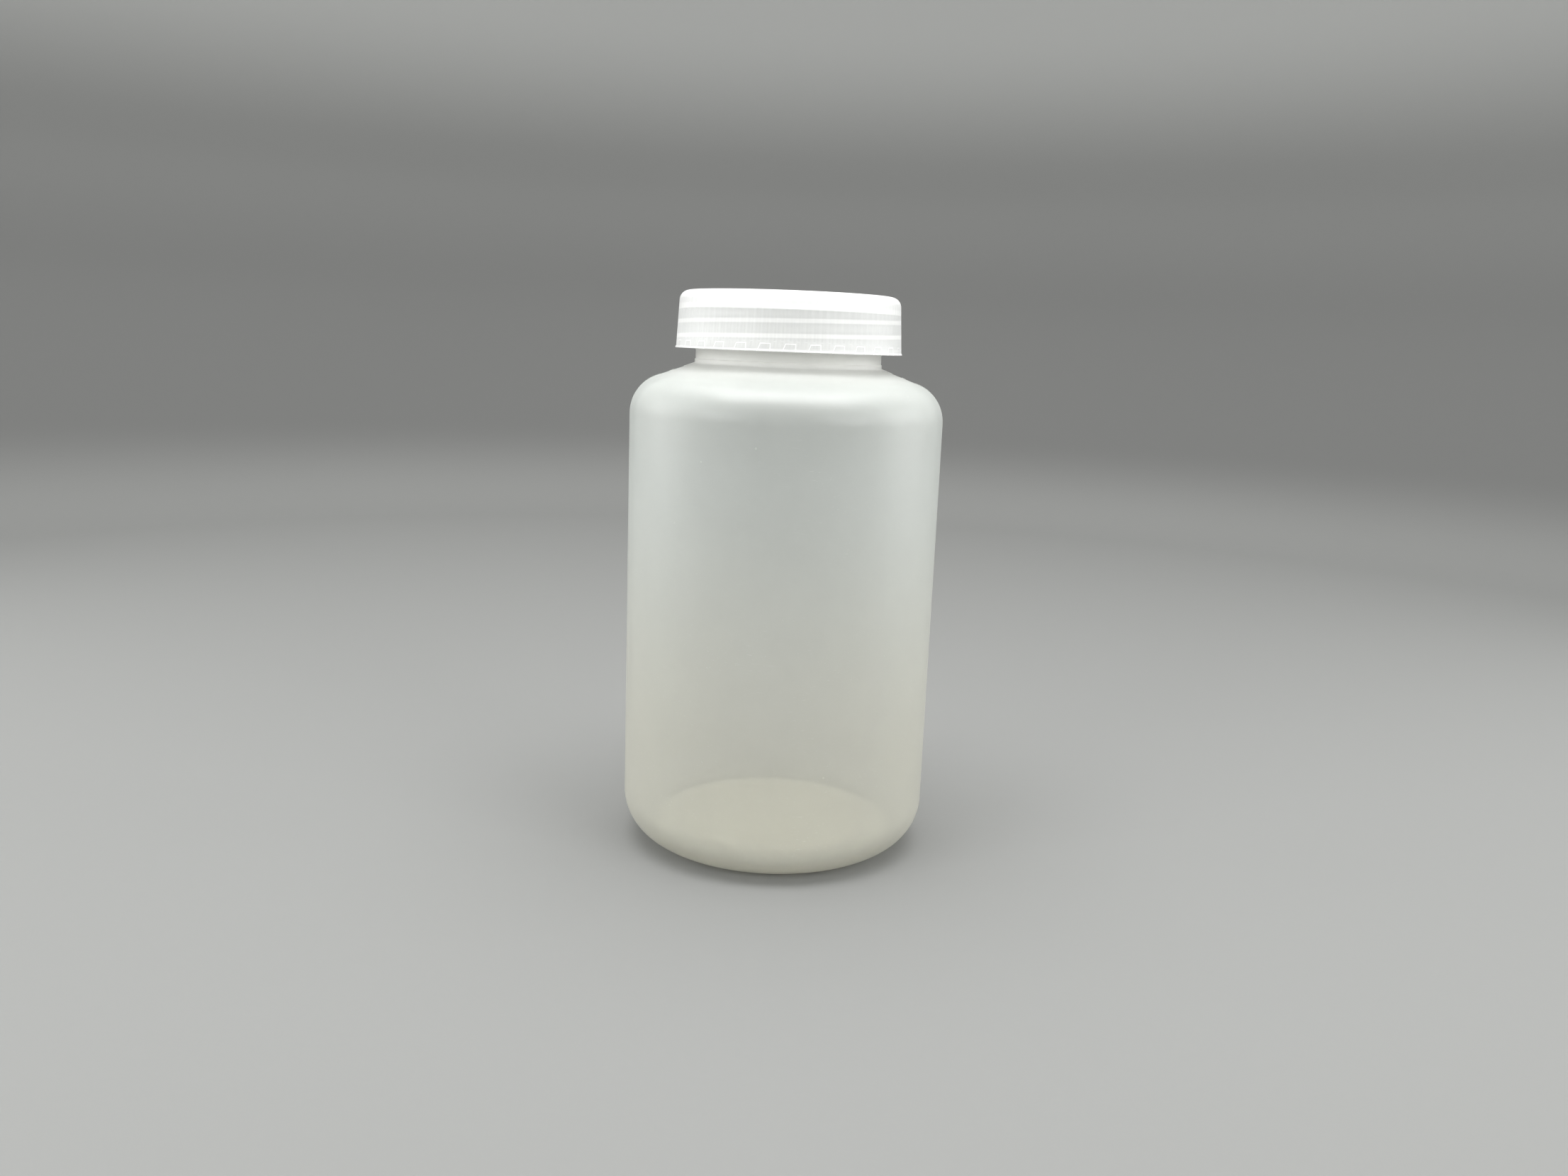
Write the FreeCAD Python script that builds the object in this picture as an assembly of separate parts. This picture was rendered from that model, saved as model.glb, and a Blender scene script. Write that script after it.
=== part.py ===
import FreeCAD, Part
import math
import os

# Wide-mouth plastic reagent bottle, about 500 ml, with a screw cap and a seal disc.
# Millimetres. +Z is up, the origin is the centre of the base, on the surface it stands on.
# Each outline is a list of (radius, height, corner radius), turned about Z.

# Bottle body
body_r = 40.0
heel_r = 12.3
shoulder_r = 10.0
shoulder_slope = math.radians(20.0)
shoulder_top = 125.0
wall = 1.4
floor = 2.0
foot_r = 26.0
foot_round = 1.5
push_up = 2.4
push_up_r = 22.5
push_up_round = 3.0
push_up_inset = 1.0

# Neck
neck_r = 23.6
neck_step = 0.2
neck_step_top = 125.9
neck_root_round = 0.6
neck_inner_round = 2.5
finish_r = 24.0
finish_bottom = 129.2
finish_taper = 1.0
mouth_r = 21.6
lip_top = 139.4
lip_round = 0.5

# Screw thread, right-handed, shared by the neck and the cap
pitch = 3.5
thread_foot = 1.9
thread_tip = 0.8
thread_buried = 0.3
thread_sink = 0.1
thread_fade = 35.0
sections_per_turn = 24
neck_thread_r = 25.7
neck_thread_bottom = 130.3
neck_thread_start = -100.0
neck_thread_turns = 2.08
cap_thread_r = 24.4
cap_thread_bottom = 131.75
cap_thread_start = -150.0
cap_thread_turns = 1.82

# Parting line and pinch-off weld left by the mould
flash = 0.12
flash_width = 0.5
flash_buried = 0.5
flash_bottom = 4.0
flash_end = 0.1
weld_height = 0.5
weld_width = 1.0
weld_inset = 2.0

# Screw cap
cap_bottom = 128.6
cap_top = 142.8
panel = 1.8
skirt_r = 28.6
skirt_draft = 0.058
skirt_inner_r = 26.1
top_round = 2.5
rim_flare = 0.15
rim_height = 0.5
band_top = 130.9
band_inner_r = 26.4
band_taper = 0.4
rim_chamfer = 0.2

# Ribs round the cap, and notches inside its rim
rib_count = 96
rib_height = 0.15
rib_width = 0.9
rib_inner_r = 26.5
rib_buried = 0.2
rib_runout = 0.8
notch_count = 30
notch_foot = 3.1
notch_tip = 2.3
notch_top = 130.45
notch_r = 27.5
notch_overlap = 0.6

# Seal disc
seal_r = 25.6
seal_edge = 0.2

# Spare length of the blanks used for cutting and trimming
spare = 1.0


def point(r, z):
    return FreeCAD.Vector(r, 0, z)


def outline(corners):
    """A closed face in the XZ plane, with each corner rounded by its own radius."""
    edges = []
    first = None
    last = None
    count = len(corners)
    for i in range(count):
        r, z, radius = corners[i]
        here = point(r, z)
        back = point(*corners[i - 1][:2]) - here
        ahead = point(*corners[(i + 1) % count][:2]) - here
        back.normalize()
        ahead.normalize()
        start = here
        end = here
        if radius > 0:
            half = back.getAngle(ahead) / 2
            start = here + back * (radius / math.tan(half))
            end = here + ahead * (radius / math.tan(half))
            middle = back + ahead
            middle.normalize()
            centre = here + middle * (radius / math.sin(half))
            arc = Part.Arc(start, centre - middle * radius, end).toShape()
        if last is not None and start.distanceToPoint(last) > 1e-6:
            edges.append(Part.LineSegment(last, start).toShape())
        if radius > 0:
            edges.append(arc)
        if first is None:
            first = start
        last = end
    edges.append(Part.LineSegment(last, first).toShape())
    return Part.Face(Part.Wire(Part.__sortEdges__(edges)))


def turned(corners):
    return outline(corners).revolve(FreeCAD.Vector(0, 0, 0), FreeCAD.Vector(0, 0, 1), 360)


def thread(wall_r, tip_r, bottom, start, turns):
    """A right-hand ridge on a round wall, which sinks into the wall at both ends."""
    out = math.copysign(1.0, tip_r - wall_r)
    buried_r = wall_r - out * thread_buried
    steps = round(turns * sections_per_turn)
    sections = []
    for i in range(steps + 1):
        turn = turns * i / steps
        from_end = 360.0 * min(turn, turns - turn)
        share = min(1.0, from_end / thread_fade)
        height = abs(tip_r - wall_r) * math.sin(share * math.pi / 2) - thread_sink * (1 - share)
        z = bottom + pitch * turn
        top_r = wall_r + out * height
        corners = [
            point(buried_r, z - thread_foot / 2),
            point(top_r, z - thread_tip / 2),
            point(top_r, z + thread_tip / 2),
            point(buried_r, z + thread_foot / 2),
        ]
        section = Part.makePolygon(corners + corners[:1])
        section.rotate(FreeCAD.Vector(0, 0, 0), FreeCAD.Vector(0, 0, 1), start + 360.0 * turn)
        sections.append(section)
    return Part.makeLoft(sections, True, False)


def shoulder_height(r, grow):
    """Height of the cone between barrel and neck at radius r, moved out by grow."""
    return shoulder_top - (r - neck_r) * math.tan(shoulder_slope) + grow / math.cos(shoulder_slope)


def bottle_outline():
    """The wall of the bottle: up the outside from the foot, over the lip and down the inside."""
    inner_r = body_r - wall
    return [
        (0, push_up, 0),
        (push_up_r, push_up, push_up_round),
        (foot_r, 0, foot_round),
        (body_r, 0, heel_r),
        (body_r, shoulder_height(body_r, 0), shoulder_r),
        (neck_r + neck_step, shoulder_height(neck_r + neck_step, 0), neck_root_round),
        (neck_r + neck_step, neck_step_top, 0),
        (neck_r, neck_step_top + neck_step, 0),
        (neck_r, finish_bottom - finish_taper, 0),
        (finish_r, finish_bottom, 0),
        (finish_r, lip_top, lip_round),
        (mouth_r, lip_top, lip_round),
        (mouth_r, shoulder_height(mouth_r, -wall), neck_inner_round),
        (inner_r, shoulder_height(inner_r, -wall), shoulder_r - wall),
        (inner_r, floor, heel_r - wall),
        (foot_r - push_up_inset, floor, foot_round),
        (push_up_r - push_up_inset, push_up + floor, push_up_round),
        (0, push_up + floor, 0),
    ]


def silhouette(grow):
    """The bottle's side view up to the neck, moved out by grow."""
    edge_r = body_r + grow
    return outline([
        (0, -grow, 0),
        (edge_r, -grow, heel_r + grow),
        (edge_r, shoulder_height(edge_r, grow), shoulder_r + grow),
        (neck_r + grow, shoulder_height(neck_r + grow, grow), 0),
        (neck_r + grow, neck_step_top - flash_end, 0),
        (0, neck_step_top - flash_end, 0),
    ])


def parting_line():
    """A low raised line up each side, where the two halves of the mould met."""
    strip = silhouette(flash).cut(silhouette(-flash_buried))
    corner = FreeCAD.Vector(-spare, -spare, -spare)
    below = Part.makeBox(2 * body_r, 2 * spare, flash_bottom + spare, corner)
    strip = strip.cut(below)
    strip.translate(FreeCAD.Vector(0, -flash_width / 2, 0))
    right = strip.extrude(FreeCAD.Vector(0, flash_width, 0)).Solids
    left = [s.mirror(FreeCAD.Vector(0, 0, 0), FreeCAD.Vector(1, 0, 0)) for s in right]
    return right + left


def base_weld():
    """The pinch-off weld, a straight ridge across the hollow under the base."""
    length = 2 * (push_up_r - weld_inset)
    height = weld_height + floor / 2
    corner = FreeCAD.Vector(-length / 2, -weld_width / 2, push_up - weld_height)
    return Part.makeBox(length, weld_width, height, corner)


def make_bottle():
    shell = turned(bottle_outline())
    ridge = thread(finish_r, neck_thread_r, neck_thread_bottom, neck_thread_start, neck_thread_turns)
    return shell.fuse([ridge, base_weld()] + parting_line())


def skirt_radius(z, inset):
    return skirt_r - skirt_draft * (z - cap_bottom) - inset


def cap_outline(inset):
    """The cap's wall without its thread. inset takes the outside down to the foot of the ribs."""
    rim_r = skirt_r + rim_flare
    return [
        (0, cap_top, 0),
        (skirt_radius(cap_top, inset), cap_top, top_round - rib_runout * inset),
        (skirt_radius(band_top, inset), band_top, 0),
        (skirt_radius(band_top, 0), band_top, 0),
        (skirt_radius(cap_bottom + rim_height, 0), cap_bottom + rim_height, 0),
        (rim_r, cap_bottom + rim_height / 2, 0),
        (rim_r, cap_bottom, 0),
        (band_inner_r + rim_chamfer, cap_bottom, 0),
        (band_inner_r, cap_bottom + rim_chamfer, 0),
        (band_inner_r, band_top, 0),
        (skirt_inner_r, band_top + band_taper, 0),
        (skirt_inner_r, cap_top - panel, 0),
        (0, cap_top - panel, 0),
    ]


def cap_ribs():
    """Fine upright ribs from the band round the rim to the rounded top edge."""
    foot_z = band_top - rib_buried
    tip_outline = turned([
        (0, cap_top, 0),
        (skirt_radius(cap_top, 0), cap_top, top_round),
        (skirt_radius(foot_z, 0), foot_z, 0),
        (0, foot_z, 0),
    ])
    slab_length = skirt_r + spare - rib_inner_r
    corner = FreeCAD.Vector(rib_inner_r, -rib_width / 2, foot_z)
    slab = Part.makeBox(slab_length, rib_width, cap_top - foot_z + spare, corner)
    rib = slab.common(tip_outline)
    return around(rib, rib_count)


def cap_notches():
    """Notches inside the rim, upright on one side and sloped on the other."""
    foot_z = cap_bottom - rim_chamfer
    half = notch_foot / 2
    corners = [
        FreeCAD.Vector(-half, 0, foot_z),
        FreeCAD.Vector(half, 0, foot_z),
        FreeCAD.Vector(half, 0, notch_top),
        FreeCAD.Vector(half - notch_tip, 0, notch_top),
    ]
    face = Part.Face(Part.makePolygon(corners + corners[:1]))
    face.translate(FreeCAD.Vector(0, -notch_r, 0))
    notch = face.extrude(FreeCAD.Vector(0, notch_r - band_inner_r + notch_overlap, 0))
    return around(notch, notch_count)


def around(shape, count):
    copies = []
    for i in range(count):
        copy = shape.copy()
        copy.rotate(FreeCAD.Vector(0, 0, 0), FreeCAD.Vector(0, 0, 1), 360.0 * i / count)
        copies.append(copy)
    return copies


def make_cap():
    cap = turned(cap_outline(rib_height)).fuse(cap_ribs())
    cap = cap.cut(Part.makeCompound(cap_notches()))
    ridge = thread(skirt_inner_r, cap_thread_r, cap_thread_bottom, cap_thread_start, cap_thread_turns)
    return cap.fuse(ridge)


def make_seal():
    top = cap_top - panel
    return turned([
        (0, lip_top, 0),
        (seal_r - seal_edge, lip_top, 0),
        (seal_r, lip_top + seal_edge, 0),
        (seal_r, top - seal_edge, 0),
        (seal_r - seal_edge, top, 0),
        (0, top, 0),
    ])


def save(name, shape):
    """Writes one solid to parts/, after checking that it is one sound solid."""
    solids = shape.Solids
    if len(solids) != 1 or not solids[0].isValid():
        raise RuntimeError(f"{name}: {len(solids)} solids, valid {shape.isValid()}")
    solids[0].exportStep(f"parts/{name}.step")
    print(f"{name}: {solids[0].Volume / 1000:.1f} cm3")


os.makedirs("parts", exist_ok=True)
save("bottle", make_bottle())
save("screw_cap", make_cap())
save("seal_disc", make_seal())
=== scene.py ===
import math
import bpy
from mathutils import Matrix, Vector


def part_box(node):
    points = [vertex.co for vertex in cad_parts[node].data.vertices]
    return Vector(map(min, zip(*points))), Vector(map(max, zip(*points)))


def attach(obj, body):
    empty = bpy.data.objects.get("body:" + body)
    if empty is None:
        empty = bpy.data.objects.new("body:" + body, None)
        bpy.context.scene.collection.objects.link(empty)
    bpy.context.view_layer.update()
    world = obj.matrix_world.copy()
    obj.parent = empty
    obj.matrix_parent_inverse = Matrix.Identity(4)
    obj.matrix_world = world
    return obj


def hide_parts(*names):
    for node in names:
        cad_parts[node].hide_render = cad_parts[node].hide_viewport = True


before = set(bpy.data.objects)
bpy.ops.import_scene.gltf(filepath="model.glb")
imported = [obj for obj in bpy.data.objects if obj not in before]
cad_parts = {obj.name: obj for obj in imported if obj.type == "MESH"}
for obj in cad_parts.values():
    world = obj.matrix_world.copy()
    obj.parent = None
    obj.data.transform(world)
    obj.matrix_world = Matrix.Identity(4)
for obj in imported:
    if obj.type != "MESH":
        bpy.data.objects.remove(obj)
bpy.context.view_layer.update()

mm = 0.001
mergeGap = 0.001 * mm
scene = bpy.context.scene
scene.view_settings.view_transform = "Standard"
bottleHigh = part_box("bottle")[1]
capLow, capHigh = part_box("screw_cap")
sealLow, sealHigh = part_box("seal_disc")
barrelRadius = bottleHigh[1] / mm
lipTop = bottleHigh[2] / mm
capBottom = capLow[2] / mm
capTop = capHigh[2] / mm
print("frame loaded:", ", ".join(sorted(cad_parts)))

# The camera is level with the cap's rim, about a third of a metre in front of the bottle.
# The parting line is then at the two sides.

cameraSettings = {
    "place": (0.0, -0.32295, 0.13101),
    "lens": 28.61,
    "sensor": 36.0,
    "clip": (0.01, 20.0),
    "yaw": 0.00343,  # turned to the right
    "pitch": 0.19515,  # tipped down
    "roll": 0.03816,  # held a little crooked
}


def makeCamera(s):
    data = bpy.data.cameras.new("camera")
    data.lens = s["lens"]
    data.sensor_width = s["sensor"]
    data.clip_start, data.clip_end = s["clip"]
    camera = bpy.data.objects.new("camera", data)
    scene.collection.objects.link(camera)
    turn = Matrix.Rotation(-s["yaw"], 4, "Z")
    tip = Matrix.Rotation(math.pi / 2 - s["pitch"], 4, "X")
    tilt = Matrix.Rotation(s["roll"], 4, "Z")
    camera.matrix_world = Matrix.Translation(s["place"]) @ turn @ tip @ tilt
    scene.camera = camera


makeCamera(cameraSettings)
print("camera placed")

# Modelling helpers. All sizes are in millimetres until a point is placed.


def clearSelection():
    if bpy.context.mode != "OBJECT":
        bpy.ops.object.mode_set(mode="OBJECT")
    bpy.ops.object.select_all(action="DESELECT")


def pick(piece):
    clearSelection()
    piece.select_set(True)
    bpy.context.view_layer.objects.active = piece


def editAll(piece):
    pick(piece)
    bpy.ops.object.mode_set(mode="EDIT")
    bpy.ops.mesh.select_all(action="SELECT")


def roundCorners(corners, arcStep):
    # a corner is (radius, height, rounding), and arcStep is the widest angle between points of an arc
    points = []
    for i, (r, z, rounding) in enumerate(corners):
        here = Vector((r, z))
        if rounding == 0:
            points.append(here)
            continue
        back = (Vector(corners[i - 1][:2]) - here).normalized()
        ahead = (Vector(corners[(i + 1) % len(corners)][:2]) - here).normalized()
        half = back.angle(ahead) / 2
        centre = here + (back + ahead).normalized() * (rounding / math.sin(half))
        start = here + back * (rounding / math.tan(half)) - centre
        end = here + ahead * (rounding / math.tan(half)) - centre
        count = max(2, math.ceil(start.angle(end) / arcStep))
        for j in range(count + 1):
            points.append(centre + start.slerp(end, j / count) * rounding)
    return points


def drawPath(name, points):
    # a plane merged to one vertex, then drawn on from point to point in the XZ plane
    clearSelection()
    bpy.ops.mesh.primitive_plane_add(size=mm)
    piece = bpy.context.object
    piece.name = piece.data.name = name
    bpy.ops.object.mode_set(mode="EDIT")
    bpy.ops.mesh.select_all(action="SELECT")
    bpy.ops.mesh.merge(type="CENTER")
    bpy.ops.transform.translate(value=(points[0].x * mm, 0, points[0].y * mm))
    for here, there in zip(points, points[1:]):
        move = (there - here) * mm
        bpy.ops.mesh.extrude_vertices_move(TRANSFORM_OT_translate={"value": (move.x, 0, move.y)})
    return piece


def turnProfile(name, points, segments):
    piece = drawPath(name, points)
    bpy.ops.mesh.select_all(action="SELECT")
    bpy.ops.mesh.spin(steps=segments, angle=2 * math.pi, center=(0, 0, 0), axis=(0, 0, 1))
    bpy.ops.mesh.select_all(action="SELECT")
    bpy.ops.mesh.remove_doubles(threshold=mergeGap)
    bpy.ops.mesh.normals_make_consistent(inside=False)
    bpy.ops.object.mode_set(mode="OBJECT")
    return piece


def makeRidge(name, s, thread):
    # the thread's section, extruded on round the axis and up; both ends sink into the wall
    clearSelection()
    bpy.ops.mesh.primitive_plane_add(size=mm)
    ridge = bpy.context.object
    ridge.name = ridge.data.name = name
    out = 1 if s["tip"] > s["wall"] else -1
    buried = s["wall"] - out * thread["buried"]
    corners = [
        (buried, -thread["foot"] / 2),
        (s["tip"], -thread["crest"] / 2),
        (buried, thread["foot"] / 2),
        (s["tip"], thread["crest"] / 2),
    ]
    for vertex, (r, z) in zip(ridge.data.vertices, corners):
        vertex.co = (r * mm, 0, (s["bottom"] + z) * mm)
    steps = round(s["turns"] * thread["perTurn"])
    turn = 2 * math.pi * s["turns"] / steps
    climb = thread["pitch"] * s["turns"] / steps * mm
    editAll(ridge)
    bpy.ops.transform.rotate(value=-math.radians(s["start"]), orient_axis="Z", center_override=(0, 0, 0))
    for i in range(steps):
        bpy.ops.mesh.extrude_region_move(TRANSFORM_OT_translate={"value": (0, 0, climb)})
        bpy.ops.transform.rotate(value=-turn, orient_axis="Z", center_override=(0, 0, 0))
    bpy.ops.mesh.select_all(action="SELECT")
    bpy.ops.mesh.normals_make_consistent(inside=False)
    bpy.ops.object.mode_set(mode="OBJECT")
    height = abs(s["tip"] - s["wall"])
    for vertex in ridge.data.vertices:
        section = vertex.index // 4
        share = min(1.0, min(section, steps - section) * turn / math.radians(thread["fade"]))
        risen = height * math.sin(share * math.pi / 2) - thread["sink"] * (1 - share)
        keep = (risen + thread["buried"]) / (height + thread["buried"])
        flat = vertex.co.to_2d()
        moved = flat.normalized() * (buried * mm + (flat.length - buried * mm) * keep)
        vertex.co = (moved.x, moved.y, vertex.co.z)
    return ridge


def combine(piece, tool, operation):
    pick(piece)
    bpy.ops.object.modifier_add(type="BOOLEAN")
    modifier = piece.modifiers[-1]
    modifier.operation = operation
    modifier.solver = "EXACT"
    modifier.object = tool
    bpy.ops.object.modifier_apply(modifier=modifier.name)
    pick(tool)
    bpy.ops.object.delete()


def copyRound(piece, count):
    # count copies in all, evenly round the axis, joined into one object
    pick(piece)
    copies = [piece]
    for i in range(1, count):
        pick(piece)
        bpy.ops.object.duplicate()
        copy = bpy.context.object
        editAll(copy)
        bpy.ops.transform.rotate(value=-2 * math.pi * i / count, orient_axis="Z", center_override=(0, 0, 0))
        bpy.ops.object.mode_set(mode="OBJECT")
        copies.append(copy)
    pick(piece)
    for copy in copies:
        copy.select_set(True)
    bpy.ops.object.join()
    return piece


def smooth(piece, sharpAngle):
    # edges that turn by more than sharpAngle degrees stay sharp
    pick(piece)
    bpy.ops.object.shade_smooth_by_angle(angle=math.radians(sharpAngle))


threadSettings = {
    "pitch": 3.5,  # right-handed
    "foot": 1.9,
    "crest": 0.8,
    "buried": 0.3,
    "sink": 0.1,
    "fade": 35.0,  # degrees from the end to full height
    "perTurn": 48,
}

bottleSettings = {
    "segments": 192,
    "arcStep": 0.08,
    "sharp": 38,
    "heel": 12.3,
    "shoulder": 10.0,
    "slope": math.radians(20.0),
    "shoulderTop": 14.4,  # this and the next three are measured down from the lip
    "stepTop": 13.5,
    "finishBottom": 10.2,
    "finishTaper": 1.0,
    "wall": 1.4,
    "floor": 2.0,
    "foot": 26.0,
    "footRound": 1.5,
    "pushUp": 2.4,
    "pushUpRadius": 22.5,
    "pushUpRound": 3.0,
    "pushUpInset": 1.0,
    "neck": 23.6,
    "step": 0.2,
    "rootRound": 0.6,
    "innerRound": 2.5,
    "finish": 24.0,
    "mouth": 21.6,
    "lipRound": 0.5,
    "thread": {"wall": 24.0, "tip": 25.7, "bottom": 130.3, "start": -100.0, "turns": 2.08},
    "flash": {"height": 0.12, "width": 0.5, "depth": 0.6, "bottom": 4.0},
    "weld": {"length": 41.0, "width": 1.0, "height": 0.5, "edge": 0.18, "edgeSteps": 3},
    "scarSegments": 40,
    "scars": (
        {"radius": 28.0, "length": 3.4, "width": 1.8, "thick": 0.6, "depth": 0.22},
        {"radius": 31.6, "length": 4.2, "width": 2.4, "thick": 0.6, "depth": 0.10},
    ),
}


def coneHeight(r, grow, s):
    # height of the shoulder's cone at radius r, moved out by grow
    top = lipTop - s["shoulderTop"]
    return top - (r - s["neck"]) * math.tan(s["slope"]) + grow / math.cos(s["slope"])


def bottleProfile(s):
    # up the outside from the hollow base, over the lip and down the inside
    inner = barrelRadius - s["wall"]
    root = s["neck"] + s["step"]
    step = lipTop - s["stepTop"]
    finish = lipTop - s["finishBottom"]
    raised = s["pushUp"] + s["floor"]
    return roundCorners([
        (0, s["pushUp"], 0),
        (s["pushUpRadius"], s["pushUp"], s["pushUpRound"]),
        (s["foot"], 0, s["footRound"]),
        (barrelRadius, 0, s["heel"]),
        (barrelRadius, coneHeight(barrelRadius, 0, s), s["shoulder"]),
        (root, coneHeight(root, 0, s), s["rootRound"]),
        (root, step, 0),
        (s["neck"], step + s["step"], 0),
        (s["neck"], finish - s["finishTaper"], 0),
        (s["finish"], finish, 0),
        (s["finish"], lipTop, s["lipRound"]),
        (s["mouth"], lipTop, s["lipRound"]),
        (s["mouth"], coneHeight(s["mouth"], -s["wall"], s), s["innerRound"]),
        (inner, coneHeight(inner, -s["wall"], s), s["shoulder"] - s["wall"]),
        (inner, s["floor"], s["heel"] - s["wall"]),
        (s["foot"] - s["pushUpInset"], s["floor"], s["footRound"]),
        (s["pushUpRadius"] - s["pushUpInset"], raised, s["pushUpRound"]),
        (0, raised, 0),
    ], s["arcStep"])


def makeFlash(s):
    # the mould's parting line: a ribbon a little proud of the side, thickened into the wall
    flash = s["flash"]
    grow = flash["height"]
    edge = barrelRadius + grow
    root = s["neck"] + s["step"]
    path = roundCorners([
        (0, -grow, 0),
        (edge, -grow, s["heel"] + grow),
        (edge, coneHeight(edge, grow, s), s["shoulder"] + grow),
        (root, coneHeight(root, grow, s), 0),
    ], s["arcStep"])
    strip = drawPath("flash", [p for p in path if p.y > flash["bottom"]])
    bpy.ops.mesh.select_all(action="SELECT")
    bpy.ops.transform.translate(value=(0, -flash["width"] / 2 * mm, 0))
    bpy.ops.mesh.extrude_region_move(TRANSFORM_OT_translate={"value": (0, flash["width"] * mm, 0)})
    bpy.ops.object.mode_set(mode="OBJECT")
    if strip.data.polygons[0].normal.x < 0:
        strip.data.flip_normals()
    bpy.ops.object.modifier_add(type="SOLIDIFY")
    strip.modifiers[-1].thickness = flash["depth"] * mm
    strip.modifiers[-1].offset = -1
    bpy.ops.object.modifier_apply(modifier=strip.modifiers[-1].name)
    return copyRound(strip, 2)


def makeWeld(s):
    # the pinch-off weld across the hollow under the base
    weld = s["weld"]
    clearSelection()
    deep = weld["height"] + s["floor"] / 2
    middle = s["pushUp"] - weld["height"] + deep / 2
    bpy.ops.mesh.primitive_cube_add(size=mm)
    bar = bpy.context.object
    editAll(bar)
    bpy.ops.transform.resize(value=(weld["length"], weld["width"], deep))
    bpy.ops.transform.translate(value=(0, 0, middle * mm))
    bpy.ops.mesh.bevel(offset=weld["edge"] * mm, segments=weld["edgeSteps"])
    bpy.ops.object.mode_set(mode="OBJECT")
    return bar


def makeScars(s):
    # small shallow dents on each shoulder, on the parting line, where the parison was pinched
    dents = []
    for scar in s["scars"]:
        clearSelection()
        around = s["scarSegments"]
        bpy.ops.mesh.primitive_uv_sphere_add(segments=around, ring_count=around // 2, radius=mm)
        dent = bpy.context.object
        height = coneHeight(scar["radius"], scar["thick"] - scar["depth"], s)
        editAll(dent)
        bpy.ops.transform.resize(value=(scar["length"] / 2, scar["width"] / 2, scar["thick"]))
        bpy.ops.transform.rotate(value=-s["slope"], orient_axis="Y", center_override=(0, 0, 0))
        bpy.ops.transform.translate(value=(scar["radius"] * mm, 0, height * mm))
        bpy.ops.object.mode_set(mode="OBJECT")
        dents.append(copyRound(dent, 2))
    return dents


def makeBottle(s):
    bottle = turnProfile("bottle_shell", bottleProfile(s), s["segments"])
    combine(bottle, makeRidge("neckRidge", s["thread"], threadSettings), "UNION")
    combine(bottle, makeFlash(s), "UNION")
    combine(bottle, makeWeld(s), "UNION")
    for dent in makeScars(s):
        combine(bottle, dent, "DIFFERENCE")
    smooth(bottle, s["sharp"])
    return bottle


bottle = makeBottle(bottleSettings)
print("bottle modelled:", len(bottle.data.polygons), "faces")

capSettings = {
    "segments": 480,  # five to a rib and sixteen to a notch
    "arcStep": 0.13,
    "sharp": 25,
    "softEdge": 0.1,  # rounding of the small corners
    "panel": 1.8,
    "panelRound": 0.3,
    "skirt": 28.6,
    "draft": 0.058,
    "inner": 26.1,
    "topRound": 2.5,
    "flare": 0.15,
    "flareRound": 0.15,
    "rim": 0.5,
    "band": 2.3,  # height of the plain band above the rim
    "bandInner": 26.4,
    "bandTaper": 0.4,
    "chamfer": 0.2,
    "ribs": {"count": 96, "height": 0.06, "start": 0.1, "clear": 0.5, "pressed": 3, "runout": 1.25},
    "notches": {"count": 30, "foot": 3.1, "tip": 2.3, "top": 1.85, "outer": 27.5, "inner": 25.8},
    "thread": {"wall": 26.1, "tip": 24.4, "bottom": 131.75, "start": -150.0, "turns": 1.82},
    "gate": {"radius": 2.2, "depth": 0.25, "nub": 0.7},
}


def skirtRadius(z, s):
    return s["skirt"] - s["draft"] * (z - capBottom)


def capProfile(s):
    # from the gate mark in the middle of the top, down the skirt and back up the inside
    rim = s["skirt"] + s["flare"]
    band = capBottom + s["band"]
    ribStart = band + s["ribs"]["start"]
    gate = s["gate"]
    return roundCorners([
        (0, capTop - gate["depth"] / 2, 0),
        (gate["nub"], capTop - gate["depth"] / 2, s["softEdge"]),
        (gate["nub"], capTop - gate["depth"], 0),
        (gate["radius"] - gate["depth"], capTop - gate["depth"], 0),
        (gate["radius"], capTop, s["softEdge"]),
        (skirtRadius(capTop, s) / 2, capTop, 0),
        (skirtRadius(capTop, s), capTop, s["topRound"]),
        (skirtRadius(ribStart, s), ribStart, 0),
        (skirtRadius(band, s), band, 0),
        (skirtRadius(capBottom + s["rim"], s), capBottom + s["rim"], 0),
        (rim, capBottom + s["rim"] / 2, s["flareRound"]),
        (rim, capBottom, s["softEdge"]),
        (s["bandInner"] + s["chamfer"], capBottom, 0),
        (s["bandInner"], capBottom + s["chamfer"], 0),
        (s["bandInner"], band, 0),
        (s["inner"], band + s["bandTaper"], 0),
        (s["inner"], capTop - s["panel"], s["panelRound"]),
        (0, capTop - s["panel"], 0),
    ], s["arcStep"])


def pressRibs(cap, s):
    # three columns in each five are pressed in, which leaves the ribs standing
    ribs = s["ribs"]
    lowest = capBottom + s["band"] + ribs["start"] / 2
    underPanel = capTop - s["panel"] + ribs["start"]
    perRib = s["segments"] // ribs["count"]
    for vertex in cap.data.vertices:
        r = vertex.co.to_2d().length / mm
        z = vertex.co.z / mm
        if z < lowest or r < s["inner"] - s["topRound"]:
            continue
        if z < underPanel and r < s["inner"] + ribs["clear"]:
            continue
        column = round(math.atan2(vertex.co.y, vertex.co.x) / (2 * math.pi) * s["segments"])
        if column % perRib >= ribs["pressed"]:
            continue
        fade = min(1.0, (capTop - z) / ribs["runout"])
        keep = 1 - ribs["height"] * fade / r
        vertex.co.x *= keep
        vertex.co.y *= keep


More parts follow.
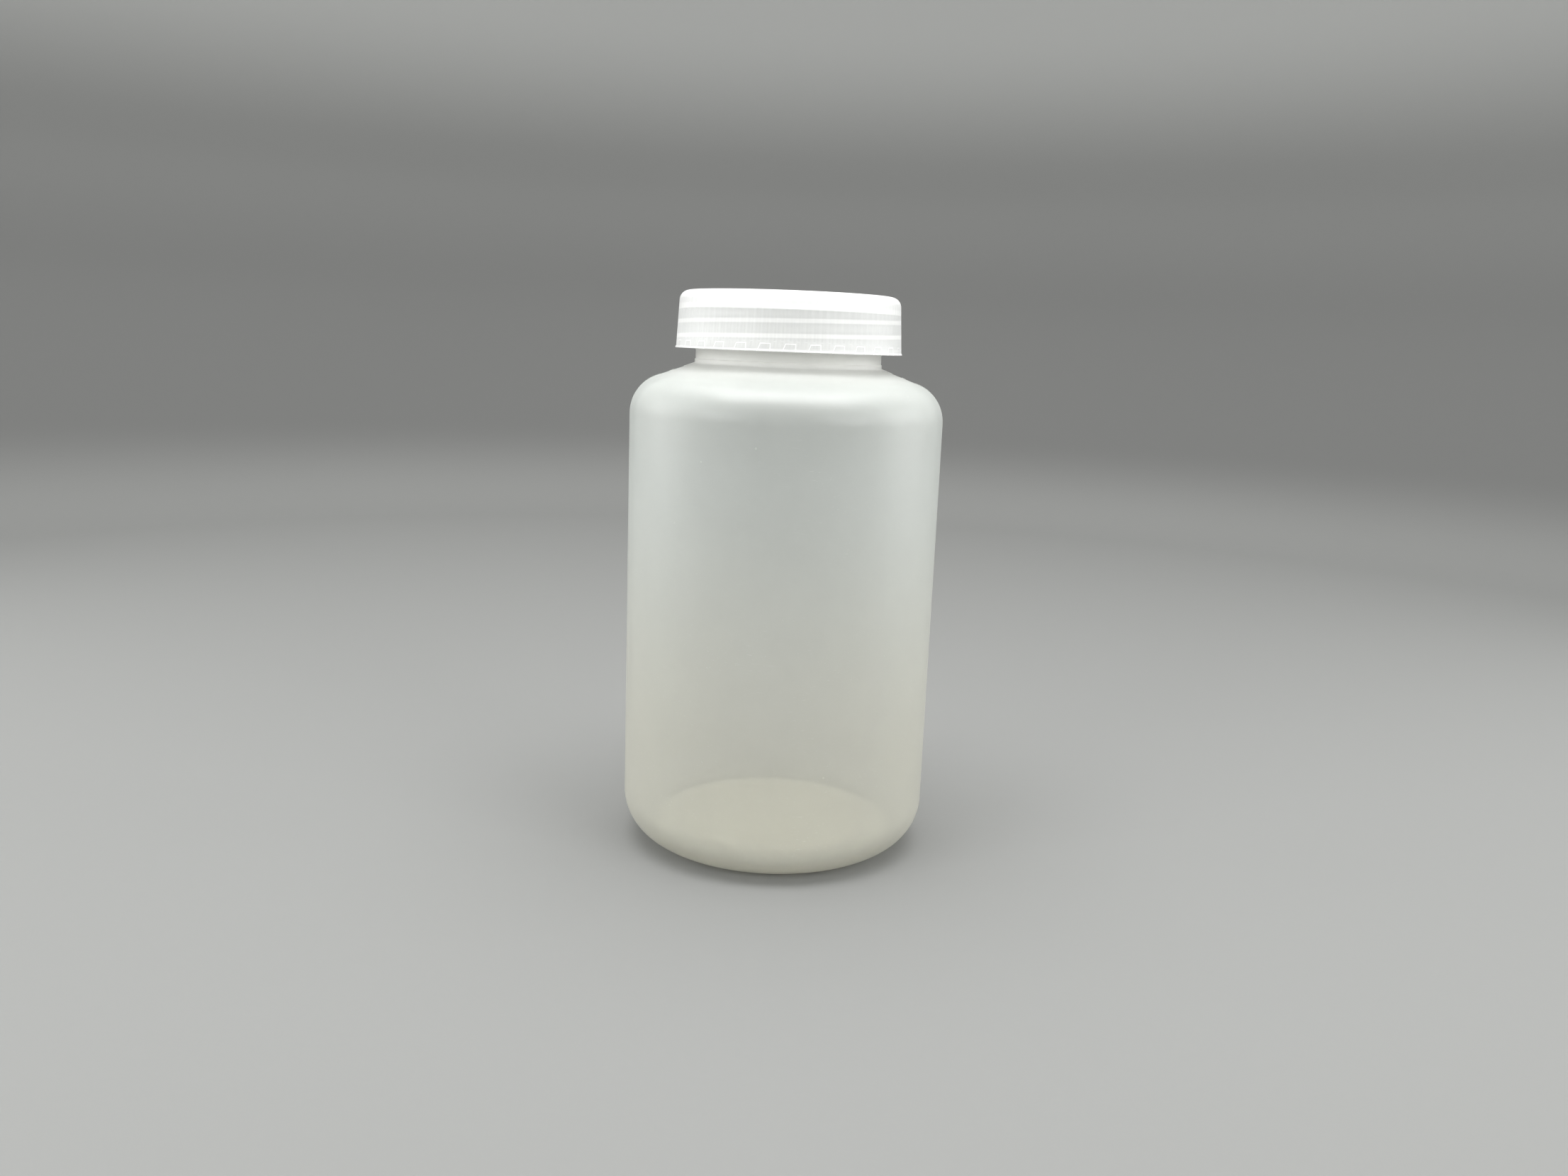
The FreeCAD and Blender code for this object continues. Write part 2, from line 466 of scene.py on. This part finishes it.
def makeNotches(s):
    # prisms with one upright and one sloped side, cut into the inside of the rim
    notch = s["notches"]
    clearSelection()
    bpy.ops.mesh.primitive_cube_add(size=2 * mm)
    cutter = bpy.context.object
    foot = -s["chamfer"]
    for vertex in cutter.data.vertices:
        x, y, z = vertex.co
        right = notch["foot"] / 2
        left = -right if z < 0 else right - notch["tip"]
        vertex.co.x = (right if x > 0 else left) * mm
        vertex.co.y = -(notch["outer"] if y < 0 else notch["inner"]) * mm
        vertex.co.z = (capBottom + (notch["top"] if z > 0 else foot)) * mm
    return copyRound(cutter, notch["count"])


def makeCap(s):
    cap = turnProfile("cap_moulding", capProfile(s), s["segments"])
    pressRibs(cap, s)
    combine(cap, makeNotches(s), "DIFFERENCE")
    combine(cap, makeRidge("capRidge", s["thread"], threadSettings), "UNION")
    smooth(cap, s["sharp"])
    return cap


cap = makeCap(capSettings)
print("cap modelled:", len(cap.data.polygons), "faces")

sealSettings = {
    "segments": 192,
    "arcStep": 0.2,
    "sharp": 30,
    "edge": 0.2,
    "printRound": 0.1,
    "printDepth": 0.12,  # the ring that the lip presses into the liner
    "printInner": 21.4,
    "printOuter": 24.2,
}


def makeSeal(s):
    radius = sealHigh[1] / mm
    low = sealLow[2] / mm
    high = sealHigh[2] / mm
    pressed = low + s["printDepth"]
    disc = turnProfile("seal_liner", roundCorners([
        (0, low, 0),
        (s["printInner"] - s["edge"], low, s["printRound"]),
        (s["printInner"], pressed, s["printRound"]),
        (s["printOuter"], pressed, s["printRound"]),
        (s["printOuter"] + s["edge"], low, s["printRound"]),
        (radius, low, s["edge"]),
        (radius, high, s["edge"]),
        (0, high, 0),
    ], s["arcStep"]), s["segments"])
    smooth(disc, s["sharp"])
    return disc


seal = makeSeal(sealSettings)
print("seal modelled:", len(seal.data.polygons), "faces")

for piece, body, node, slot in (
    (bottle, "bottle", "bottle", "bottle_plastic"),
    (cap, "cap", "screw_cap", "cap_plastic"),
    (seal, "seal", "seal_disc", "seal_foam"),
):
    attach(piece, body)
    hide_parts(node)

# Floor and light

stageSettings = {
    "segments": 96,
    "radius": 920.0,
    "bend": 300.0,
    "top": 1500.0,
    "gap": 0.05,  # the paper lies just under the foot
    "arcStep": 0.1,
    "sharp": 60,
    # height in metres, and how light the paper is painted there: painted light and shade that change with
    # height
    "paintedLightTones": ((0.0, 0.228), (0.055, 0.144), (0.17, 0.150), (0.27, 0.190), (0.42, 0.320)),
    "tint": (1.0, 1.012, 0.985),
    "rough": 0.85,
    "fibreScale": 900.0,
    "fibreDetail": 2.0,
    "bump": 0.08,
    "bumpDepth": 0.0002,
}


def makeMaterial(name):
    material = bpy.data.materials.new(name)
    material.use_nodes = True
    tree = material.node_tree
    return material, tree, tree.nodes["Principled BSDF"]


def put(tree, kind, values=None, **settings):
    # adds a node, sets its fields, and fills or links its inputs
    node = tree.nodes.new(kind)
    for key, value in settings.items():
        setattr(node, key, value)
    for key, value in (values or {}).items():
        if isinstance(value, bpy.types.NodeSocket):
            tree.links.new(value, node.inputs[key])
        else:
            node.inputs[key].default_value = value
    return node


def addBump(tree, shader, height, s, **settings):
    values = {"Height": height, "Strength": s["bump"], "Distance": s["bumpDepth"]}
    bump = put(tree, "ShaderNodeBump", values, **settings)
    tree.links.new(bump.outputs["Normal"], shader.inputs["Normal"])


def makeStage(s):
    sweep = turnProfile("sweep", roundCorners([
        (0, -s["gap"], 0),
        (s["radius"] - s["bend"] - s["gap"], -s["gap"], 0),
        (s["radius"], -s["gap"], s["bend"]),
        (s["radius"], s["top"], 0),
    ], s["arcStep"]), s["segments"])
    smooth(sweep, s["sharp"])
    material, tree, shader = makeMaterial("sweepPaper")
    # painted light and shade: the paper darkens and lightens with height
    where = put(tree, "ShaderNodeTexCoord")
    split = put(tree, "ShaderNodeSeparateXYZ", {0: where.outputs["Object"]})
    ramp = put(tree, "ShaderNodeValToRGB", {0: split.outputs["Z"]})
    ramp.color_ramp.interpolation = "EASE"
    for i, (height, tone) in enumerate(s["paintedLightTones"]):
        if i < 2:
            stop = ramp.color_ramp.elements[i]
            stop.position = height
        else:
            stop = ramp.color_ramp.elements.new(height)
        stop.color = [tone * share for share in s["tint"]] + [1]
    fibre = put(tree, "ShaderNodeTexNoise", {
        "Vector": where.outputs["Object"],
        "Scale": s["fibreScale"],
        "Detail": s["fibreDetail"],
    })
    tree.links.new(ramp.outputs["Color"], shader.inputs["Base Color"])
    addBump(tree, shader, fibre.outputs["Fac"], s)
    shader.inputs["Roughness"].default_value = s["rough"]
    sweep.data.materials.append(material)


# Places and sizes in metres, power in watts, spread in degrees.

lightSettings = {
    "overhead": {
        "place": (0.0, -0.12, 0.46),
        "aim": (0, 0, 0.05),
        "size": (0.50, 0.16),
        "power": 0.92,
        "spread": 180,
    },
    "ceiling": {
        "place": (0.0, 0.15, 1.35),
        "aim": (0, 0.15, 0),
        "size": (1.5, 1.5),
        "power": 25.0,
        "spread": 180,
    },
    "left": {
        "place": (-0.52, 0.02, 0.22),
        "aim": (0, 0, 0.07),
        "size": (0.4, 0.35),
        "power": 0.65,
        "spread": 150,
    },
    "right": {
        "place": (0.52, 0.02, 0.22),
        "aim": (0, 0, 0.07),
        "size": (0.4, 0.35),
        "power": 0.65,
        "spread": 150,
    },
    "frontLeft": {
        "place": (-0.62, -0.58, 0.30),
        "aim": (0, 0, 0.09),
        "size": (0.5, 0.4),
        "power": 2.35,
        "spread": 150,
    },
    "frontRight": {
        "place": (0.62, -0.58, 0.30),
        "aim": (0, 0, 0.09),
        "size": (0.5, 0.4),
        "power": 2.35,
        "spread": 150,
    },
    "front": {
        "place": (0.0, -0.86, 0.14),
        "aim": (0, 0, 0.12),
        "size": (1.0, 0.3),
        "power": 2.25,
        "spread": 150,
    },
}
skySettings = {"colour": (1, 1, 1, 1), "strength": 0.12}


def makeLights(settings, sky):
    for name, s in settings.items():
        data = bpy.data.lights.new(name, "AREA")
        data.shape = "RECTANGLE"
        data.size, data.size_y = s["size"]
        data.energy = s["power"]
        data.spread = math.radians(s["spread"])
        lamp = bpy.data.objects.new(name, data)
        lamp.location = s["place"]
        aim = Vector(s["aim"]) - Vector(s["place"])
        lamp.rotation_euler = aim.to_track_quat("-Z", "Y").to_euler()
        scene.collection.objects.link(lamp)
    world = bpy.data.worlds.new("studio")
    world.use_nodes = True
    background = world.node_tree.nodes["Background"]
    background.inputs["Color"].default_value = sky["colour"]
    background.inputs["Strength"].default_value = sky["strength"]
    scene.world = world


makeStage(stageSettings)
makeLights(lightSettings, skySettings)
print("floor and lights made")

# Materials. Each group's Position is in metres, on the piece itself.


def makeGroup(name, inputs, outputs):
    tree = bpy.data.node_groups.new(name, "ShaderNodeTree")
    for label, kind, value in inputs:
        socket = tree.interface.new_socket(name=label, in_out="INPUT", socket_type=kind)
        if value is not None:
            socket.default_value = value
    for label in outputs:
        tree.interface.new_socket(name=label, in_out="OUTPUT", socket_type="NodeSocketFloat")
    return tree, put(tree, "NodeGroupInput"), put(tree, "NodeGroupOutput")


def useGroup(tree, group, values):
    return put(tree, "ShaderNodeGroup", values, node_tree=group)


def calc(tree, operation, first, second=0.0, clamp=False):
    node = put(tree, "ShaderNodeMath", {0: first, 1: second}, operation=operation, use_clamp=clamp)
    return node.outputs[0]


def between(tree, value, start, end, low=0.0, high=1.0, shape="SMOOTHSTEP"):
    # low where value is start, high where it is end
    values = {"Value": value, "From Min": start, "From Max": end, "To Min": low, "To Max": high}
    return put(tree, "ShaderNodeMapRange", values, interpolation_type=shape).outputs[0]


def noise(tree, where, scale, detail):
    values = {"Vector": where, "Scale": scale, "Detail": detail}
    return put(tree, "ShaderNodeTexNoise", values).outputs["Fac"]


grainSettings = {
    "grainDetail": 3.0,
    "swellDetail": 2.0,
    "swellShare": 1.5,  # height of the slow swell against the fine grain
}


def mouldGrainGroup(s):
    # the fine orange-peel texture of a moulded surface, and the slow unevenness under it
    tree, given, result = makeGroup("mouldGrain", [
        ("Position", "NodeSocketVector", None),
        ("Grain Size", "NodeSocketFloat", 0.0006),
        ("Swell Size", "NodeSocketFloat", 0.02),
    ], ["Height", "Swell"])
    where = given.outputs["Position"]
    grainScale = calc(tree, "DIVIDE", 1.0, given.outputs["Grain Size"])
    swellScale = calc(tree, "DIVIDE", 1.0, given.outputs["Swell Size"])
    grain = noise(tree, where, grainScale, s["grainDetail"])
    swell = noise(tree, where, swellScale, s["swellDetail"])
    height = calc(tree, "ADD", grain, calc(tree, "MULTIPLY", swell, s["swellShare"]))
    tree.links.new(height, result.inputs["Height"])
    tree.links.new(swell, result.inputs["Swell"])
    return tree


marksSettings = {
    "scratches": (
        {"turn": (0.3, 0.5, 0.2), "stretch": (90.0, 2600.0, 2600.0)},
        {"turn": (-0.4, 0.9, 1.1), "stretch": (2400.0, 80.0, 2400.0)},
    ),
    "scratchEdges": (0.70, 0.76),
    "rubScale": 70.0,
    "rubDetail": 3.0,
    "rubEdges": (0.45, 0.75),
    "speckScale": 160.0,
    "speckEdges": (0.050, 0.025),
    "speckChance": (0.90, 0.92),  # the share of cells without a speck
}


def handlingMarksGroup(s):
    # hairline scratches, dull rubbed patches and small specks from use
    tree, given, result = makeGroup("handlingMarks", [
        ("Position", "NodeSocketVector", None),
        ("Scratch Amount", "NodeSocketFloat", 0.5),
        ("Speck Amount", "NodeSocketFloat", 0.5),
    ], ["Scratches", "Rubbed", "Specks"])
    where = given.outputs["Position"]
    lines = 0.0
    for scratch in s["scratches"]:
        values = {"Vector": where, "Rotation": scratch["turn"], "Scale": scratch["stretch"]}
        mapped = put(tree, "ShaderNodeMapping", values).outputs[0]
        line = between(tree, noise(tree, mapped, 1.0, 1.0), *s["scratchEdges"], shape="LINEAR")
        lines = calc(tree, "MAXIMUM", lines, line)
    patch = noise(tree, where, s["rubScale"], s["rubDetail"])
    rubbed = between(tree, patch, *s["rubEdges"], shape="LINEAR")
    scratches = calc(tree, "MULTIPLY", calc(tree, "MULTIPLY", lines, rubbed), given.outputs["Scratch Amount"])
    cells = put(tree, "ShaderNodeTexVoronoi", {"Vector": where, "Scale": s["speckScale"], "Randomness": 1.0})
    dot = between(tree, cells.outputs["Distance"], *s["speckEdges"], shape="LINEAR")
    chance = put(tree, "ShaderNodeSeparateColor", {0: cells.outputs["Color"]}).outputs[0]
    few = between(tree, chance, *s["speckChance"], shape="LINEAR")
    specks = calc(tree, "MULTIPLY", calc(tree, "MULTIPLY", dot, few), given.outputs["Speck Amount"])
    tree.links.new(scratches, result.inputs["Scratches"])
    tree.links.new(rubbed, result.inputs["Rubbed"])
    tree.links.new(specks, result.inputs["Specks"])
    return tree


mouldGrain = mouldGrainGroup(grainSettings)
handlingMarks = handlingMarksGroup(marksSettings)


def blendColours(tree, share, first, second):
    node = put(tree, "ShaderNodeMix", {0: share, 6: first, 7: second}, data_type="RGBA")
    return node.outputs[2]


# Heights, radii and widths below are in metres.

bottlePlastic = {
    "upper": (0.742, 0.773, 0.745, 1),
    "lower": (0.700, 0.695, 0.618, 1),
    # the body turns darker and yellower towards the bottom between these two heights
    "lowerBlendTop": 0.105,
    "lowerBlendBottom": 0.020,
    # painted light: the neck is near white, partly for its thicker wall and partly to stand in for light
    # coming through the cap
    "neck": (0.990, 0.990, 0.960, 1),
    "thickAndLitNeckStart": 0.1200,
    "thickAndLitNeckFull": 0.1262,
    "base": (0.975, 0.955, 0.850, 1),
    "baseStart": 0.0085,
    "baseFull": 0.0030,
    "baseEdge": 0.0325,  # radius of the thicker floor
    "baseSoft": 0.0015,
    "mark": (1.0, 1.0, 0.98, 1),
    "speck": (0.16, 0.155, 0.13, 1),
    "thin": 0.32,  # how much the wall hides, seen square on
    "edgeBlend": 0.35,
    "thickAndLitNeckHides": 0.60,  # how much more each of these hides
    "baseHides": 0.58,
    "speckHides": 0.5,
    "cloud": 0.05,
    "grain": {"Grain Size": 0.0007, "Swell Size": 0.016},
    "marks": {"Scratch Amount": 0.5, "Speck Amount": 0.8},
    "bump": 0.25,
    "bumpDepth": 0.00006,
    "rough": 0.46,
    "rubbedRough": 0.10,
    "shader": {"IOR": 1.49, "Transmission Weight": 0.52, "Coat Weight": 0.22, "Coat Roughness": 0.14},
}


def setShader(shader, values):
    for key, value in values.items():
        shader.inputs[key].default_value = value


def makeBottlePlastic(s):
    material, tree, shader = makeMaterial("milkyBottlePlastic")
    where = put(tree, "ShaderNodeTexCoord").outputs["Object"]
    axes = put(tree, "ShaderNodeSeparateXYZ", {0: where})
    height = axes.outputs["Z"]
    flat = put(tree, "ShaderNodeCombineXYZ", {0: axes.outputs["X"], 1: axes.outputs["Y"]}).outputs[0]
    radius = put(tree, "ShaderNodeVectorMath", {0: flat}, operation="LENGTH").outputs["Value"]
    grain = useGroup(tree, mouldGrain, {"Position": where, **s["grain"]})
    marks = useGroup(tree, handlingMarks, {"Position": where, **s["marks"]})
    specks = marks.outputs["Specks"]
    # darker and yellower towards the bottom
    low = between(tree, height, s["lowerBlendTop"], s["lowerBlendBottom"])
    neck = between(tree, height, s["thickAndLitNeckStart"], s["thickAndLitNeckFull"])
    inFloor = between(tree, radius, s["baseEdge"], s["baseEdge"] - s["baseSoft"])
    base = calc(tree, "MULTIPLY", between(tree, height, s["baseStart"], s["baseFull"]), inFloor)
    colour = blendColours(tree, low, s["upper"], s["lower"])
    # painted light on the neck, partly its thicker wall
    colour = blendColours(tree, neck, colour, s["neck"])
    colour = blendColours(tree, base, colour, s["base"])
    colour = blendColours(tree, marks.outputs["Scratches"], colour, s["mark"])
    colour = blendColours(tree, specks, colour, s["speck"])
    tree.links.new(colour, shader.inputs["Base Color"])
    # the wall hides more where it is seen on edge, and where it is thick; the neck's extra cover and
    # near-white colour are partly its thicker wall and partly painted light
    facing = put(tree, "ShaderNodeLayerWeight", {"Blend": s["edgeBlend"]}).outputs["Facing"]
    cover = between(tree, facing, 0.0, 1.0, s["thin"], 1.0, "LINEAR")
    for mask, share in ((neck, s["thickAndLitNeckHides"]), (base, s["baseHides"]), (specks, s["speckHides"])):
        cover = calc(tree, "ADD", cover, calc(tree, "MULTIPLY", mask, share))
    swell = calc(tree, "SUBTRACT", grain.outputs["Swell"], 0.5)
    cover = calc(tree, "ADD", cover, calc(tree, "MULTIPLY", swell, s["cloud"]), clamp=True)
    tree.links.new(cover, shader.inputs["Alpha"])
    dull = calc(tree, "MULTIPLY", marks.outputs["Rubbed"], s["rubbedRough"])
    tree.links.new(calc(tree, "ADD", s["rough"], dull), shader.inputs["Roughness"])
    addBump(tree, shader, grain.outputs["Height"], s)
    setShader(shader, s["shader"])
    return material


def threadBandsGroup():
    # 1 along the ridge of a right-hand thread and 0 in the thinner wall between its turns
    tree, given, result = makeGroup("threadBands", [
        ("Position", "NodeSocketVector", None),
        ("Pitch", "NodeSocketFloat", 0.0035),
        ("Start Height", "NodeSocketFloat", 0.1),
        ("Start Turn", "NodeSocketFloat", 0.0),
        ("Ridge Width", "NodeSocketFloat", 0.001),
        ("Softness", "NodeSocketFloat", 0.0002),
    ], ["Ridge"])
    given = given.outputs
    axes = put(tree, "ShaderNodeSeparateXYZ", {0: given["Position"]}).outputs
    angle = calc(tree, "ARCTAN2", axes["Y"], axes["X"])
    turns = calc(tree, "SUBTRACT", calc(tree, "DIVIDE", angle, 2 * math.pi), given["Start Turn"])
    risen = calc(tree, "SUBTRACT", axes["Z"], given["Start Height"])
    climbed = calc(tree, "DIVIDE", risen, given["Pitch"])
    # how far the point is from the middle of the nearest turn
    phase = calc(tree, "FRACT", calc(tree, "ADD", calc(tree, "SUBTRACT", climbed, turns), 0.5))
    offset = calc(tree, "ABSOLUTE", calc(tree, "SUBTRACT", phase, 0.5))
    distance = calc(tree, "MULTIPLY", offset, given["Pitch"])
    beyond = calc(tree, "SUBTRACT", distance, calc(tree, "MULTIPLY", given["Ridge Width"], 0.5))
    soft = calc(tree, "DIVIDE", beyond, given["Softness"])
    tree.links.new(calc(tree, "SUBTRACT", 0.5, soft, clamp=True), result.inputs["Ridge"])
    return tree


def notchWindowsGroup():
    # the notches inside the rim, as they show through it: a pale outline round a thinner panel
    tree, given, result = makeGroup("notchWindows", [
        ("Position", "NodeSocketVector", None),
        ("Count", "NodeSocketFloat", 30.0),
        ("Radius", "NodeSocketFloat", 0.027),
        ("Foot", "NodeSocketFloat", 0.003),
        ("Tip", "NodeSocketFloat", 0.002),
        ("Low", "NodeSocketFloat", 0.128),
        ("High", "NodeSocketFloat", 0.130),
        ("Line", "NodeSocketFloat", 0.0002),
    ], ["Outline", "Panel"])
    given = given.outputs
    axes = put(tree, "ShaderNodeSeparateXYZ", {0: given["Position"]}).outputs
    # how far round its own notch the point is
    angle = calc(tree, "ARCTAN2", axes["Y"], axes["X"])
    quarter = calc(tree, "ADD", calc(tree, "DIVIDE", angle, 2 * math.pi), 0.25)
    cells = calc(tree, "ADD", calc(tree, "MULTIPLY", quarter, given["Count"]), 0.5)
    cell = calc(tree, "SUBTRACT", calc(tree, "FRACT", cells), 0.5)
    wayRound = calc(tree, "MULTIPLY", given["Radius"], 2 * math.pi)
    along = calc(tree, "MULTIPLY", cell, calc(tree, "DIVIDE", wayRound, given["Count"]))
    # how far it is inside the nearest side of the notch
    tall = calc(tree, "SUBTRACT", given["High"], given["Low"])
    rise = calc(tree, "DIVIDE", calc(tree, "SUBTRACT", axes["Z"], given["Low"]), tall)
    lean = calc(tree, "MULTIPLY", rise, calc(tree, "SUBTRACT", given["Foot"], given["Tip"]))
    half = calc(tree, "MULTIPLY", given["Foot"], 0.5)
    fromLeft = calc(tree, "SUBTRACT", calc(tree, "ADD", along, half), lean)
    fromRight = calc(tree, "SUBTRACT", half, along)
    fromTop = calc(tree, "SUBTRACT", given["High"], axes["Z"])
    inside = calc(tree, "MINIMUM", calc(tree, "MINIMUM", fromLeft, fromRight), fromTop)
    steps = calc(tree, "DIVIDE", inside, given["Line"])
    outline = calc(tree, "SUBTRACT", 1.0, calc(tree, "ABSOLUTE", steps), clamp=True)
    tree.links.new(outline, result.inputs["Outline"])
    tree.links.new(calc(tree, "ADD", steps, 0.0, clamp=True), result.inputs["Panel"])
    return tree


threadBands = threadBandsGroup()
notchWindows = notchWindowsGroup()

capPlastic = {
    "wall": (0.985, 0.99, 0.98, 1),
    "gap": (0.890, 0.902, 0.892, 1),  # the wall between two turns of the thread
    "ridgeWidth": 0.0010,
    "ridgeSoft": 0.0003,
    # painted shade: the crown is darker than the wall, to tone down the strong light on the top
    "shadedCrown": (0.905, 0.912, 0.902, 1),
    "shadedCrownStart": 0.1393,
    "shadedCrownFull": 0.1397,
    "topStart": 0.1382,  # where the seal begins to show through
    "topFull": 0.1386,
    "rim": (0.925, 0.933, 0.925, 1),
    "window": (0.875, 0.885, 0.880, 1),
    "outline": (1.0, 1.0, 1.0, 1),
    "outlineWidth": 0.00017,
    "bandStart": 0.1304,
    "bandFull": 0.1308,
    "mark": (0.80, 0.80, 0.78, 1),
    "thin": 0.56,
    "edgeBlend": 0.35,
    "topHides": 0.45,
    "ridgeHides": 0.15,
    "outlineHides": 0.40,
    "grain": {"Grain Size": 0.0004, "Swell Size": 0.009},
    "marks": {"Scratch Amount": 0.25, "Speck Amount": 0.3},
    "bump": 0.2,
    "bumpDepth": 0.00004,
    "rough": 0.36,
    "rubbedRough": 0.12,
    "shader": {"IOR": 1.49, "Transmission Weight": 0.28},
}


def makeCapPlastic(s):
    material, tree, shader = makeMaterial("whiteCapPlastic")
    thread = capSettings["thread"]
    notches = capSettings["notches"]
    where = put(tree, "ShaderNodeTexCoord").outputs["Object"]
    height = put(tree, "ShaderNodeSeparateXYZ", {0: where}).outputs["Z"]
    grain = useGroup(tree, mouldGrain, {"Position": where, **s["grain"]})
    marks = useGroup(tree, handlingMarks, {"Position": where, **s["marks"]})
    ridge = useGroup(tree, threadBands, {
        "Position": where,
        "Pitch": threadSettings["pitch"] * mm,
        "Start Height": thread["bottom"] * mm,
        "Start Turn": thread["start"] / 360,
        "Ridge Width": s["ridgeWidth"],
        "Softness": s["ridgeSoft"],
    }).outputs["Ridge"]
    windows = useGroup(tree, notchWindows, {
        "Position": where,
        "Count": float(notches["count"]),
        "Radius": notches["outer"] * mm,
        "Foot": notches["foot"] * mm,
        "Tip": notches["tip"] * mm,
        "Low": (capBottom - capSettings["chamfer"]) * mm,
        "High": (capBottom + notches["top"]) * mm,
        "Line": s["outlineWidth"],
    }).outputs
    top = between(tree, height, s["topStart"], s["topFull"])
    shadedCrown = between(tree, height, s["shadedCrownStart"], s["shadedCrownFull"])
    below = between(tree, height, s["bandStart"], s["bandFull"], 1.0, 0.0)
    edgeTop = (capBottom + capSettings["rim"]) * mm
    edge = between(tree, height, edgeTop, edgeTop - capSettings["rim"] / 2 * mm)
    colour = blendColours(tree, calc(tree, "MAXIMUM", ridge, top), s["gap"], s["wall"])
    # painted shade on the crown
    colour = blendColours(tree, shadedCrown, colour, s["shadedCrown"])
    rim = blendColours(tree, windows["Panel"], s["rim"], s["window"])
    rim = blendColours(tree, windows["Outline"], rim, s["outline"])
    colour = blendColours(tree, below, colour, rim)
    colour = blendColours(tree, edge, colour, s["outline"])
    spots = calc(tree, "MAXIMUM", marks.outputs["Scratches"], marks.outputs["Specks"])
    colour = blendColours(tree, spots, colour, s["mark"])
    tree.links.new(colour, shader.inputs["Base Color"])
    # the seal, the ridges and the notches' edges all hide more than the bare wall
    outline = calc(tree, "MULTIPLY", windows["Outline"], below)
    facing = put(tree, "ShaderNodeLayerWeight", {"Blend": s["edgeBlend"]}).outputs["Facing"]
    cover = between(tree, facing, 0.0, 1.0, s["thin"], 1.0, "LINEAR")
    for mask, share in ((top, s["topHides"]), (ridge, s["ridgeHides"]), (outline, s["outlineHides"])):
        cover = calc(tree, "ADD", cover, calc(tree, "MULTIPLY", mask, share))
    tree.links.new(calc(tree, "ADD", cover, 0.0, clamp=True), shader.inputs["Alpha"])
    dull = calc(tree, "MULTIPLY", marks.outputs["Rubbed"], s["rubbedRough"])
    tree.links.new(calc(tree, "ADD", s["rough"], dull), shader.inputs["Roughness"])
    addBump(tree, shader, grain.outputs["Height"], s)
    setShader(shader, s["shader"])
    return material


sealFoam = {
    "face": (0.95, 0.95, 0.93, 1),
    # painted shade: darker where the foam's surface dips between its cells
    "poreShade": (0.84, 0.84, 0.81, 1),
    "poreScale": 2200.0,
    "poreEdges": (0.25, 0.65),
    "bump": 0.4,
    "bumpDepth": 0.00005,
    "rough": 0.62,
    "poreRough": 0.15,
}


def makeSealFoam(s):
    material, tree, shader = makeMaterial("whiteSealFoam")
    where = put(tree, "ShaderNodeTexCoord").outputs["Object"]
    cells = put(tree, "ShaderNodeTexVoronoi", {"Vector": where, "Scale": s["poreScale"]})
    pores = between(tree, cells.outputs["Distance"], *s["poreEdges"], shape="LINEAR")
    # painted shade in the foam's pits
    tree.links.new(blendColours(tree, pores, s["face"], s["poreShade"]), shader.inputs["Base Color"])
    rough = calc(tree, "ADD", s["rough"], calc(tree, "MULTIPLY", pores, s["poreRough"]))
    tree.links.new(rough, shader.inputs["Roughness"])
    addBump(tree, shader, pores, s, invert=True)
    return material


bottle.data.materials.append(makeBottlePlastic(bottlePlastic))
cap.data.materials.append(makeCapPlastic(capPlastic))
seal.data.materials.append(makeSealFoam(sealFoam))
print("materials made")
